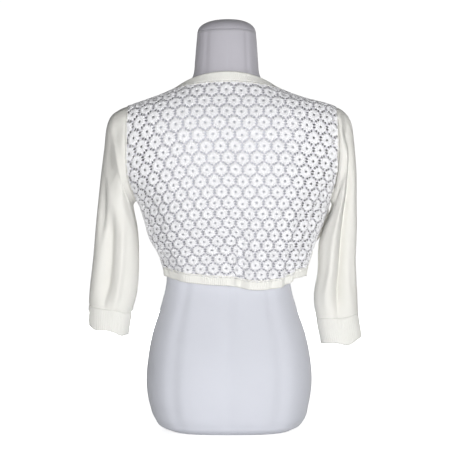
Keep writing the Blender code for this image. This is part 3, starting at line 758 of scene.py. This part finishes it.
# --------------------------------------------------------------------------------------------------------
# Fronts. Two plain knitted panels, linked to the lace at the shoulder and the side, which fall open over
# the chest.
# --------------------------------------------------------------------------------------------------------
FRONT_EDGE = [
    Spot(0.0995, 0.6235),
    Spot(0.0930, 0.614),
    Spot(0.0880, 0.601),
    Spot(0.084, 0.576),
    Spot(0.078, 0.540),
    Spot(0.071, 0.490),
    Spot(0.068, 0.440),
    Spot(0.072, 0.395),
    Spot(0.082, 0.353),
    Spot(0.098, 0.322),
]
SEAM_TURN = 0.28
FRONT_CORNER_TURN = 108
FRONT_CORNER_RISE = 0.004
FRONT_CORNER_SHARE = 0.80
# Rows of faces up the side seam and up the armhole, each made this many times finer, and columns across.
FRONT_SEAM_ROWS = 5
FRONT_ARMHOLE_ROWS = 12
FRONT_FINE = 6
FRONT_COLUMNS = 48
FRONT_POINTS = 33
CLOTH = 0.0016


def turn_at(side, across, height):
    """The turn at which the front of the shrug reaches this far across."""
    width = curve(table(SHRUG, "height"), table(SHRUG, side.name), height)
    return 180 - np.degrees(np.arcsin(np.minimum(across / width, 1)))


def front_edge(side, shares):
    """Turns and heights along the open front, from share 0 at the neck to 1 at the side seam."""
    start = hem_height(side.sign * SIDE_SEAM_TURN) + HEM_BAND + SEAM_GAP
    spots = [(90.0 + SEAM_TURN, NECK_SIDE_HEIGHT - SEAM_GAP)]
    spots += [(float(turn_at(side, spot.across, spot.height)), spot.height) for spot in FRONT_EDGE]
    spots += [(FRONT_CORNER_TURN, start + FRONT_CORNER_RISE), (SIDE_SEAM_TURN + SEAM_TURN, start)]
    knots = np.linspace(0, 1, len(spots))
    return np.column_stack([curve(knots, values, shares) for values in np.array(spots).T])


def front_outer(side):
    """Turns and heights up the side seam and the front of the armhole."""
    seam_rows, armhole_rows = FRONT_SEAM_ROWS * FRONT_FINE, FRONT_ARMHOLE_ROWS * FRONT_FINE
    start = hem_height(side.sign * SIDE_SEAM_TURN) + HEM_BAND + SEAM_GAP
    share = np.arange(seam_rows) / seam_rows
    seam = np.column_stack([SIDE_SEAM_TURN + (90 - SIDE_SEAM_TURN) * ease(share),
                            start + (side.underarm - start) * share])
    phi = np.radians(180 * np.arange(armhole_rows + 1) / armhole_rows)
    height = (side.tip + side.underarm) / 2 - (side.tip - side.underarm) / 2 * np.cos(phi)
    across = curve(table(side.seam, "height"), table(side.seam, "across"), height)
    armhole = np.column_stack([turn_at(side, across, height), height])
    armhole[[0, -1], 0] = 90.0
    return np.concatenate([seam, armhole]) + (SEAM_TURN, 0)


def coons(bottom, top, first, last, across, up):
    """Places between four edges."""
    def along(edge, share):
        return np.column_stack([np.interp(share, np.linspace(0, 1, len(edge)), edge[:, k]) for k in (0, 1)])

    x, y = across[:, None], up[:, None]
    ruled = ((1 - y) * along(bottom, across) + y * along(top, across)
             + (1 - x) * along(first, up) + x * along(last, up))
    low = (1 - x) * bottom[0] + x * bottom[-1]
    return ruled - (1 - y) * low - y * ((1 - x) * top[0] + x * top[-1])


for side in (LEFT, RIGHT):
    outer = front_outer(side)
    inner = front_edge(side, np.linspace(FRONT_CORNER_SHARE, 0, len(outer)))
    neck = NECK_SIDE_HEIGHT - SEAM_GAP
    shoulder = np.column_stack([np.full(FRONT_POINTS, 90 + SEAM_TURN),
                                np.linspace(side.tip, neck, FRONT_POINTS)])
    bottom = front_edge(side, np.linspace(1, FRONT_CORNER_SHARE, FRONT_POINTS))

    def front_spot(across, up, side=side, edges=(bottom, shoulder, outer, inner)):
        turn, height = coons(*edges, across, up).T
        girth = look_up(girths, heights, turns, height, turn)
        return body_skin(side.sign * turn, height), np.column_stack([girth, height])

    rows = (FRONT_SEAM_ROWS + FRONT_ARMHOLE_ROWS) * FRONT_FINE
    front = spread(f"front_panel_{side.name}", FRONT_COLUMNS, rows, front_spot)
    thicken(front, CLOTH)
    front.data.materials.append(plain_knit)
    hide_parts(f"front_{side.name}")
    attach(front, "root")

# --------------------------------------------------------------------------------------------------------
# Front bands. A ribbed strip of the same yarn, picked up along each open front, from the shoulder seam
# down to the side seam.
# --------------------------------------------------------------------------------------------------------
FRONT_BAND = 0.018
BAND_TOP_SIDE_HEIGHT = 0.6355
BAND_TOP_BACK_HEIGHT = 0.6575
RIB = 0.0022
RIB_PITCH = 0.0036
RIB_PROUD = 0.0003
RIB_SINK = 0.0003
# The ribs are flat at the band's seam, and whole a sixth of the way up it.
RIB_RISE = 6
FRONT_BAND_COLUMNS = 440
BAND_ROWS = 6
BAND_POINTS = 200


def ribs(run, up):
    """The height of one-by-one rib that runs across a band, flattened at its seam."""
    return RIB_PROUD * np.cos(2 * np.pi * run / RIB_PITCH) * ease(up * RIB_RISE) - RIB_SINK


def band_edges(side):
    """The seam of one front band, and the edge that hangs free."""
    edge = front_edge(side, np.linspace(0, 1, BAND_POINTS))
    here = body_skin(*edge.T)
    per_turn = body_skin(edge[:, 0] + 1, edge[:, 1]) - here
    per_height = (body_skin(edge[:, 0], edge[:, 1] + NEAR_HEIGHT) - here) / NEAR_HEIGHT
    out = unit(np.cross(np.cross(per_turn, per_height), np.gradient(here, axis=0)))
    seam, free = edge.copy(), edge.copy()
    for k in range(len(edge)):
        step = np.linalg.lstsq(np.column_stack([per_turn[k], per_height[k]]), out[k], rcond=None)[0]
        seam[k] = edge[k] + SEAM_GAP * step
        free[k] = edge[k] + (SEAM_GAP + FRONT_BAND) * step
    low = hem_height(side.sign * SIDE_SEAM_TURN)
    seam[0] = (90 + SEAM_TURN, NECK_SIDE_HEIGHT)
    seam[-1] = (SIDE_SEAM_TURN + SEAM_TURN, low + HEM_BAND)
    free[0] = (90 + SEAM_TURN, BAND_TOP_SIDE_HEIGHT)
    free[-1] = (SIDE_SEAM_TURN + SEAM_TURN, low)
    seam[:, 0] *= side.sign
    free[:, 0] *= side.sign
    return seam, free


# The same cream yarn in one-by-one rib: springy ridges with soft shade between them. The real ones are too
# fine to show, so they are drawn 3.6 mm apart, and their stitches at 1.8 mm.
rib_knit = knitted("ribbed_cotton_knit", roughness=0.9, sheen=0.10, colours=("#E4E3DE", "#EAEAE5"),
                   patches=20.0, stitch=(0.0018, 0.0015), relief=(0.0003, 0.4))


def finish_band(band, node):
    """The wall and yarn of one ribbed piece, which hides the model's part that it replaces and hangs from
    the root.
    """
    thicken(band, RIB)
    band.data.materials.append(rib_knit)
    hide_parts(node)
    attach(band, "root")


for side in (LEFT, RIGHT):
    seam, free = band_edges(side)
    band = strip(f"front_rib_{side.name}", seam, free, FRONT_BAND_COLUMNS, BAND_ROWS, rib=ribs)
    finish_band(band, f"front_band_{side.name}")

# --------------------------------------------------------------------------------------------------------
# Sleeves. Two plain knitted tubes set into the armholes. They hang a little forward of the seams and
# slacken into long soft creases towards the cuffs.
# --------------------------------------------------------------------------------------------------------
Ring = namedtuple("Ring", "outer outer_height inner inner_height back front")
Crease = namedtuple("Crease", "start end wide top bottom depth slack", defaults=(1.0,))
Sleeve = namedtuple("Sleeve", "rings creases lobes")

LEFT_RINGS = [
    Ring(0.206, 0.590, 0.1755, 0.4185, 0.0725, -0.069),
    Ring(0.220, 0.579, 0.1780, 0.4130, 0.0700, -0.068),
    Ring(0.228, 0.558, 0.1770, 0.406, 0.0640, -0.064),
    Ring(0.232, 0.520, 0.1755, 0.397, 0.0580, -0.060),
    Ring(0.238, 0.472, 0.1720, 0.382, 0.0510, -0.056),
    Ring(0.243, 0.425, 0.1690, 0.362, 0.0460, -0.053),
    Ring(0.248, 0.375, 0.1675, 0.332, 0.0410, -0.050),
    Ring(0.253, 0.315, 0.1675, 0.290, 0.0360, -0.047),
    Ring(0.259, 0.262, 0.1710, 0.250, 0.0320, -0.044),
    Ring(0.261, 0.228, 0.1800, 0.214, 0.0290, -0.042),
    Ring(0.261, 0.190, 0.1870, 0.172, 0.0270, -0.040),
]
RIGHT_RINGS = [
    Ring(0.213, 0.590, 0.1930, 0.4200, 0.0725, -0.069),
    Ring(0.224, 0.579, 0.1950, 0.415, 0.0690, -0.067),
    Ring(0.231, 0.560, 0.1950, 0.408, 0.0640, -0.064),
    Ring(0.2355, 0.522, 0.1900, 0.400, 0.0580, -0.060),
    Ring(0.239, 0.475, 0.1845, 0.387, 0.0510, -0.056),
    Ring(0.2395, 0.425, 0.1755, 0.366, 0.0460, -0.053),
    Ring(0.2400, 0.370, 0.1680, 0.337, 0.0410, -0.050),
    Ring(0.238, 0.310, 0.1665, 0.290, 0.0360, -0.047),
    Ring(0.2405, 0.255, 0.1595, 0.245, 0.0320, -0.044),
    Ring(0.2425, 0.213, 0.1640, 0.203, 0.0290, -0.042),
    Ring(0.249, 0.168, 0.1730, 0.156, 0.0270, -0.040),
]
# Turns round the sleeve from its outer line, where a crease starts and ends: 90 faces back. Top and
# bottom are shares of its length. A negative depth stands up as a ridge, and slack widens the outer side.
LEFT_CREASES = [
    Crease(64, 58, 20, 0.00, 0.48, 0.0065),
    Crease(46, 44, 12, 0.40, 0.72, 0.0080),
    Crease(78, 74, 14, 0.50, 0.92, 0.0140, 1.4),
    Crease(112, 100, 8, 0.50, 0.98, -0.0040),
    Crease(128, 140, 16, 0.20, 0.55, 0.0060),
    Crease(245, 262, 20, 0.20, 0.85, 0.0075),
    Crease(308, 300, 18, 0.45, 0.95, 0.0060),
    Crease(104, 60, 5, 0.24, 0.44, 0.0030),
    Crease(60, 84, 7, 0.76, 0.98, 0.0030),
    Crease(215, 225, 9, 0.50, 0.85, 0.0035),
]
RIGHT_CREASES = [
    Crease(46, 88, 17, 0.03, 0.95, 0.0230, 1.3),
    Crease(74, 122, 12, 0.08, 0.92, -0.0060),
    Crease(130, 150, 16, 0.12, 0.50, 0.0060),
    Crease(44, 36, 12, 0.52, 0.90, 0.0035),
    Crease(275, 240, 20, 0.15, 0.90, 0.0080),
    Crease(318, 305, 18, 0.20, 0.65, 0.0060),
    Crease(92, 88, 6, 0.78, 1.00, 0.0030),
    Crease(215, 200, 9, 0.45, 0.80, 0.0035),
]
# Where the foot of a cuff hangs lower, round it and down it as for a crease.
LEFT_LOBES = [
    Crease(52, 52, 20, 0.86, 1.00, 0.0045),
    Crease(132, 132, 18, 0.86, 1.00, 0.0040),
    Crease(262, 262, 24, 0.86, 1.00, 0.0040),
]
RIGHT_LOBES = [
    Crease(74, 74, 28, 0.86, 1.00, 0.0090),
    Crease(250, 250, 30, 0.86, 1.00, 0.0050),
]
SLEEVES = {
    "left": Sleeve(LEFT_RINGS, LEFT_CREASES, LEFT_LOBES),
    "right": Sleeve(RIGHT_RINGS, RIGHT_CREASES, RIGHT_LOBES),
}

ARMHOLE_STEPS = 60
SLEEVE_ROWS = 120
CREASE_FADE = 0.15
SEAM_SHAPE_STEPS = 5
SLEEVE_GAP = 0.0005
SEAM_DIP = 0.0008
SEAM_DIP_WIDE = 0.003
CUFF_SHARE = 10 / 11
# The foot of the sleeve runs on by this share of its length, and steps in behind the top of its cuff.
TUCKED = 0.008
TUCK_START = 0.0045
TUCK_STEP = 0.002
SLEEVE_TURNS = 180 * np.arange(2 * ARMHOLE_STEPS) / ARMHOLE_STEPS


def armhole_loop(side):
    """Points round the armhole seam: the shoulder first, then down the back, and up the front."""
    phi = SLEEVE_TURNS
    height = (side.tip + side.underarm) / 2 + (side.tip - side.underarm) / 2 * np.cos(np.radians(phi))
    front = turn_at(side, curve(table(side.seam, "height"), table(side.seam, "across"), height), height)
    turn = np.where(phi > 180, front, 180 - front)
    turn[[0, ARMHOLE_STEPS]] = 90.0
    return body_skin(side.sign * turn, height) * (side.sign, 1, 1)


def sleeve_ring(side, at, share):
    """One oval ring of a sleeve as on the left, its creases pressed in and its foot's lobes let down."""
    phi = SLEEVE_TURNS
    angle = np.radians(phi)[:, None]
    outer, inner = np.array([at[0], 0, at[1]]), np.array([at[2], 0, at[3]])
    depth = np.where(phi <= 180, at[4], -at[5])[:, None]
    spoke = (outer - inner) / 2 * np.cos(angle) + np.array([0, 1, 0]) * depth * np.sin(angle)
    inwards = np.zeros(len(phi))
    for crease in SLEEVES[side.name].creases:
        down = (share - crease.top) / (crease.bottom - crease.top)
        shown = ease((share - crease.top) / CREASE_FADE) * ease((crease.bottom - share) / CREASE_FADE)
        turn = crease.start + (crease.end - crease.start) * down
        away = apart(phi, turn)
        wide = crease.wide * np.where(away < 0, crease.slack, 1.0)
        inwards += crease.depth * shown * swell(away / wide)
    ring = (outer + inner) / 2 + spoke * (1 - inwards / np.linalg.norm(spoke, axis=1))[:, None]
    for lobe in SLEEVES[side.name].lobes:
        grown = ease((share - lobe.top) / (lobe.bottom - lobe.top))
        ring[:, 2] -= lobe.depth * grown * swell(apart(phi, lobe.start) / lobe.wide)
    return ring


def sleeve_rings(side, rows):
    """Rings down a sleeve and its cuff, from the armhole seam to the foot of the cuff."""
    loop = armhole_loop(side)
    tip, under = loop[0], loop[ARMHOLE_STEPS]
    start = Ring(tip[0], tip[2], under[0], under[2], loop[:, 1].max(), loop[:, 1].min())
    tables = [start] + SLEEVES[side.name].rings
    last = len(tables) - 1
    seam_shape = loop - sleeve_ring(side, start, 0.0)
    knots = np.arange(len(tables))
    rings = []
    for step in rows * last:
        at = [float(curve(knots, table(tables, name), step)) for name in Ring._fields]
        ring = sleeve_ring(side, at, step / last)
        rings.append(ring + seam_shape * (1 - ease(step / SEAM_SHAPE_STEPS)))
    # A sleeve's first ring follows the armhole seam.
    if rows[0] == 0:
        rings[0] = loop + SLEEVE_GAP * unit(rings[1] - loop)
    return np.array(rings) * (side.sign, 1, 1)


def ring_facing(rings):
    """The outward normals of a stack of rings."""
    across = np.roll(rings, -1, axis=1) - np.roll(rings, 1, axis=1)
    normals = unit(np.cross(across, np.gradient(rings, axis=0)))
    outwards = (normals * (rings - rings.mean(axis=1, keepdims=True))).sum() > 0
    return normals if outwards else -normals


def tube_of(name, rings, proud, columns=None):
    """A tube of cloth through a stack of rings, with proud giving how far it stands out."""
    normals = ring_facing(rings)
    closed = np.concatenate([rings, rings[:, :1]], axis=1)
    facing = np.concatenate([normals, normals[:, :1]], axis=1)
    steps = np.linalg.norm(np.diff(closed, axis=1), axis=2)
    run = np.concatenate([np.zeros((len(rings), 1)), np.cumsum(steps, axis=1)], axis=1)
    down = np.concatenate([[0], np.cumsum(np.linalg.norm(np.diff(rings, axis=0), axis=2).mean(axis=1))])
    row_at, column_at = np.arange(len(rings)), np.arange(closed.shape[1])

    def read(values, row, column):
        return np.column_stack([look_up(values[..., k], row_at, column_at, row, column) for k in range(3)])

    def place(across, up):
        row, column = (1 - up) * (len(rings) - 1), across * (closed.shape[1] - 1)
        points, normal = read(closed, row, column), unit(read(facing, row, column))
        length = look_up(run, row_at, column_at, row, column)
        depth = np.interp(row, row_at, down)
        return points + normal * proud(across, depth)[:, None], np.column_stack([length, -depth])

    return spread(name, columns or closed.shape[1] - 1, len(rings) - 1, place, tube=True)


for side in (LEFT, RIGHT):
    rings = sleeve_rings(side, np.linspace(0, CUFF_SHARE + TUCKED, SLEEVE_ROWS + 1))
    foot = np.linalg.norm(np.diff(rings, axis=0), axis=2).mean(axis=1).sum()

    def sleeve_proud(across, depth):
        tuck = RIB * ease((depth - foot + TUCK_START) / TUCK_STEP)
        return -SEAM_DIP * swell(depth / SEAM_DIP_WIDE) - tuck

    sleeve = tube_of(f"sleeve_{side.name}_knit", rings, sleeve_proud)
    thicken(sleeve, CLOTH)
    sleeve.data.materials.append(plain_knit)
    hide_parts(f"sleeve_{side.name}")
    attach(sleeve, "root")

# --------------------------------------------------------------------------------------------------------
# Cuffs. A deep band of the same rib, knitted on at the end of each sleeve below a thin seam line, which
# draws the sleeve in a little.
# --------------------------------------------------------------------------------------------------------
CUFF_GAP_SHARE = 0.0015
CUFF_ROWS = 14
CUFF_RIBS = 56
RIB_FACES = 5
CUFF_RIB_RISE = 0.004
CUFF_DIP = 0.0003

for side in (LEFT, RIGHT):
    rings = sleeve_rings(side, np.linspace(CUFF_SHARE + CUFF_GAP_SHARE, 1, CUFF_ROWS + 1))

    def cuff_proud(across, depth):
        ridge = RIB_PROUD * np.cos(2 * np.pi * CUFF_RIBS * across)
        return ridge * ease(depth / CUFF_RIB_RISE) - CUFF_DIP * swell(depth / SEAM_DIP_WIDE)

    cuff = tube_of(f"cuff_{side.name}_rib", rings, cuff_proud, columns=CUFF_RIBS * RIB_FACES)
    finish_band(cuff, f"cuff_{side.name}")

# --------------------------------------------------------------------------------------------------------
# Neck band and hem band. Narrow ribbed bands in the same yarn, picked up along the top and the bottom of
# the lace.
# --------------------------------------------------------------------------------------------------------
NECK_BAND_POINTS = 120
NECK_BAND_COLUMNS = 320
HEM_BAND_COLUMNS = 500

neck_turns = np.linspace(-90, 90, NECK_BAND_POINTS)
neck_low = [(turn, neck_height(turn) + SEAM_GAP) for turn in neck_turns]
neck_high = [(turn, neck_height(turn, BAND_TOP_SIDE_HEIGHT, BAND_TOP_BACK_HEIGHT)) for turn in neck_turns]
neck_rib = strip("neck_rib", neck_low, neck_high, NECK_BAND_COLUMNS, BAND_ROWS, rib=ribs)
finish_band(neck_rib, "neck_band")

hem_low = [(turn, hem_height(turn)) for turn in hem_turns]
hem_high = [(turn, height - SEAM_GAP) for turn, height in hem_seam]
hem_rib = strip("hem_rib", hem_high, hem_low, HEM_BAND_COLUMNS, BAND_ROWS, rib=ribs)
finish_band(hem_rib, "hem_band")

# --------------------------------------------------------------------------------------------------------
# Studio. A pale seamless paper floor and a white backdrop, soft round lights in front of the form and
# behind it, and a level camera behind it.
# --------------------------------------------------------------------------------------------------------
FLOOR_REACH = 12
FLOOR_GAP = 0.0005
# The floor's glow: how far out its shade begins and ends, and how strong the glow is there.
SHADE_REACH = (0.15, 0.75)
SHADE_GLOW = (0.72, 1.0)
# The strength of the studio's walls, as light on the cloth and as the camera sees them.
WALL_LIGHT = 0.06
WALL_SEEN = 1.05
AIM = (0, 0, 0.4)
LENS = 92.035
SHIFT = (0.00326, -0.03804)
CAMERA_PLACE = (0, 2.2, 0.40)

shape = bmesh.new()
bmesh.ops.create_grid(shape, x_segments=1, y_segments=1, size=FLOOR_REACH)
mesh = bpy.data.meshes.new("floor")
shape.to_mesh(mesh)
shape.free()
floor = bpy.data.objects.new("floor", mesh)
floor.location.z = -FLOOR_GAP
bpy.context.scene.collection.objects.link(floor)

# Pale paper sweep: it glows where it is seen, so that it stays white, and keeps a faint shade close to
# the base.
paper, tree, surface = finish_of("pale_paper", 0.9, 0.0)
surface.inputs["Base Color"].default_value = linear("#E6E6E6")
surface.inputs["Emission Color"].default_value = linear("#FFFFFF")
seen = add(tree, "LightPath").outputs["Is Camera Ray"]
place = add(tree, "TexCoord").outputs["Object"]
away = add(tree, "VectorMath", {0: place}, operation="LENGTH").outputs["Value"]
reach = {0: away, 1: SHADE_REACH[0], 2: SHADE_REACH[1], 3: SHADE_GLOW[0], 4: SHADE_GLOW[1]}
glow = add(tree, "MapRange", reach, interpolation_type="SMOOTHSTEP").outputs[0]
glow = add(tree, "Math", {0: seen, 1: glow}, operation="MULTIPLY").outputs[0]
tree.links.new(glow, surface.inputs["Emission Strength"])
mesh.materials.append(paper)

world = bpy.data.worlds.new("studio")
world.use_nodes = True
tree = world.node_tree
sky = tree.nodes["Background"]
sky.inputs[0].default_value = linear("#FFFFFF")
seen = add(tree, "LightPath").outputs["Is Camera Ray"]
tree.links.new(add(tree, "MapRange", {0: seen, 3: WALL_LIGHT, 4: WALL_SEEN}).outputs[0], sky.inputs[1])
bpy.context.scene.world = world


def soft_light(name, where, size, power):
    """A large soft light that faces the middle of the form."""
    lamp = bpy.data.lights.new(name, "AREA")
    lamp.shape = "DISK"
    lamp.size = size
    lamp.energy = power
    light = bpy.data.objects.new(name, lamp)
    light.location = where
    light.rotation_euler = (Vector(AIM) - light.location).to_track_quat("-Z", "Y").to_euler()
    bpy.context.scene.collection.objects.link(light)


soft_light("key", (-0.05, 2.7, 0.42), 0.5, 48)
soft_light("left_fill", (1.7, 1.9, 0.45), 1.2, 7)
soft_light("right_fill", (-1.7, 1.9, 0.45), 1.2, 16)
soft_light("front_key", (0.4, -2.6, 0.5), 1.0, 46)
soft_light("front_fill", (-1.7, -1.9, 0.6), 1.2, 10)

camera_data = bpy.data.cameras.new("camera")
camera_data.sensor_width = 36
camera_data.lens = LENS
camera_data.shift_x, camera_data.shift_y = SHIFT
camera = bpy.data.objects.new("camera", camera_data)
camera.location = CAMERA_PLACE
camera.rotation_euler = (math.radians(90), 0, math.radians(180))
bpy.context.scene.collection.objects.link(camera)
bpy.context.scene.camera = camera
# The default view transform turns the white lace grey against its holes.
bpy.context.scene.view_settings.view_transform = "Standard"
